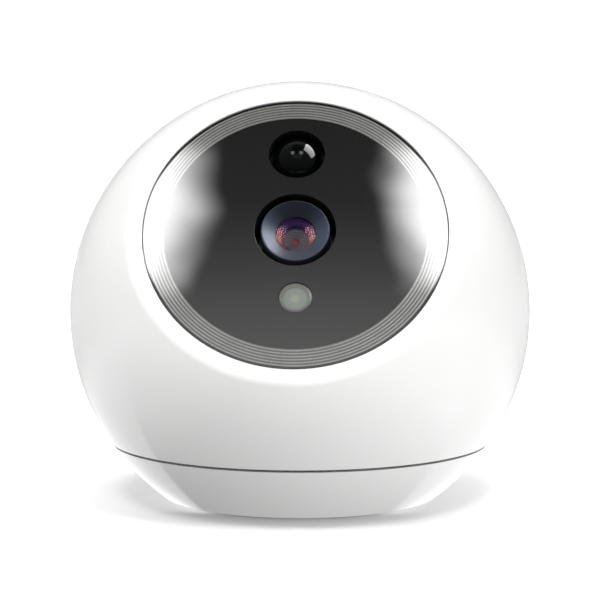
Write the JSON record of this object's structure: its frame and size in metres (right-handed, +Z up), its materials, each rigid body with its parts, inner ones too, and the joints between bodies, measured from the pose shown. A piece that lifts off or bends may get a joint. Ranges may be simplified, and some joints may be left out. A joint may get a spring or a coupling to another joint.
{
  "type": "baby monitor camera",
  "caption": "Ball-shaped baby camera that pans on a fixed base, with a tilted round smoked face around a lens, a motion sensor and a status light.",
  "frame": {"origin": "on the pan axis, on the surface the camera stands on", "axes": "+Z up along the pan axis; the lens looks towards -Y and upwards; +X is to the right of someone who faces the lens"},
  "size_m": [0.097, 0.0961, 0.0882],
  "materials": {
    "white_gloss": "smooth high-gloss white moulding",
    "white_matte": "fine-textured white moulding",
    "foot_rubber": "matt grey rubber",
    "button_grey": "satin grey moulding",
    "screw_steel": "zinc-plated steel",
    "screw_black": "blackened steel",
    "insert_brass": "turned brass",
    "acetal_white": "satin acetal",
    "acetal_natural": "satin acetal",
    "washer_plastic": "slippery low-friction plastic",
    "spring_steel": "oiled spring steel",
    "board_green": "green solder mask on glass-fibre board",
    "board_black": "black solder mask on glass-fibre board",
    "socket_steel": "bright tinned steel",
    "chip_black": "black moulded packages",
    "switch_black": "black moulding",
    "lead_black": "soft black sleeve",
    "shaft_steel": "ground steel",
    "motor_steel": "bright zinc-plated can",
    "cap_blue": "blue moulding",
    "deck_grey": "fine-textured grey moulding",
    "smoked_window": "polished smoked acrylic",
    "silver_lines": "fine grey metallic lines",
    "carrier_black": "matt black moulding",
    "dome_black": "glossy black infrared-clear plastic",
    "sensor_can": "nickel-plated can",
    "light_port": "milky clear plastic",
    "lamp_body": "diffused green-tinted resin",
    "lamp_clear": "clear resin",
    "hood_grey": "satin blue-grey moulding",
    "lens_glass": "violet-coated glass",
    "barrel_black": "black anodised barrel",
    "mount_black": "matt black moulding",
    "filter_glass": "coated flat glass",
    "coil_copper": "enamelled copper winding",
    "sensor_glass": "dark cover glass",
    "heat_aluminium": "black-edged extruded aluminium",
    "screen_can": "bright tinned steel",
    "aerial_film": "thin black film",
    "plug_cream": "cream moulding",
    "basket_steel": "pressed steel, painted black",
    "magnet_steel": "zinc-plated steel cup",
    "cone_black": "pressed black cone",
    "gasket_foam": "closed-cell foam"
  },
  "bodies": {
    "base": {"base_bowl": "white_gloss", "base_plate": "white_matte", "foot_ring": "foot_rubber", "base_screws": "screw_steel", "hub_screws": "screw_steel", "tripod_insert": "insert_brass", "hub_post": "acetal_white", "pan_gear": "acetal_white", "thrust_washer": "washer_plastic", "hub_clip": "spring_steel", "power_board": "board_green", "usb_socket": "socket_steel", "power_parts": "chip_black", "reset_switch": "switch_black", "power_lead": "lead_black"},
    "button": {"reset_button": "button_grey"},
    "globe": {"front_shell": "white_gloss", "rear_shell": "white_gloss", "motor_screws": "screw_steel", "shell_screws": "screw_steel", "small_screws": "screw_black", "pan_bush": "washer_plastic", "main_board": "board_green", "sensor_board": "board_green", "infrared_board": "board_black", "head_lead": "lead_black", "pan_motor": "motor_steel", "motor_cap": "cap_blue", "globe_deck": "deck_grey", "window": "smoked_window", "window_inlays": "silver_lines", "face_carrier": "carrier_black", "motion_sensor_lens": "dome_black", "motion_sensor": "sensor_can", "status_light_lens": "light_port", "status_light": "lamp_body", "infrared_lights": "lamp_clear", "lens_hood": "hood_grey", "front_glass": "lens_glass", "lens_barrel": "barrel_black", "inner_glasses": "lens_glass", "lens_mount": "mount_black", "filter_coil": "coil_copper", "image_sensor": "sensor_glass", "board_standoffs": "insert_brass", "processor": "chip_black", "memory_chips": "chip_black", "heat_sink": "heat_aluminium", "radio_module": "screen_can", "radio_aerial": "aerial_film", "board_plugs": "plug_cream", "speaker_basket": "basket_steel", "speaker_magnet": "magnet_steel", "speaker_cone": "cone_black", "speaker_gasket": "gasket_foam", "microphone": "sensor_can"},
    "pinion": {"pan_pinion": "acetal_natural", "motor_shaft": "shaft_steel"},
    "night_filter": {"filter_frame": "mount_black", "filter_panes": "filter_glass"}
  },
  "joints": [
    {"name": "pan", "type": "hinge", "parent": "base", "child": "globe", "pos_m": [0, 0, 0.015], "axis": [0, 0, 1], "range_deg": [-170, 170]},
    {"name": "pinion_spin", "type": "hinge", "parent": "globe", "child": "pinion", "pos_m": [0, 0.024, 0.009], "axis": [0, 0, 1], "range_deg": [-510, 510]},
    {"name": "filter_slide", "type": "slide", "parent": "globe", "child": "night_filter", "axis": [1, 0, 0], "range_m": [0, 0.006]},
    {"name": "reset_press", "type": "slide", "parent": "base", "child": "button", "axis": [0, -1, 0], "range_m": [0, 0.0005], "stiffness_N_per_m": 1500, "springref_m": -0.0003}
  ],
  "couplings": [
    {"joint": "pinion_spin", "follows": "pan", "ratio": 3}
  ]
}
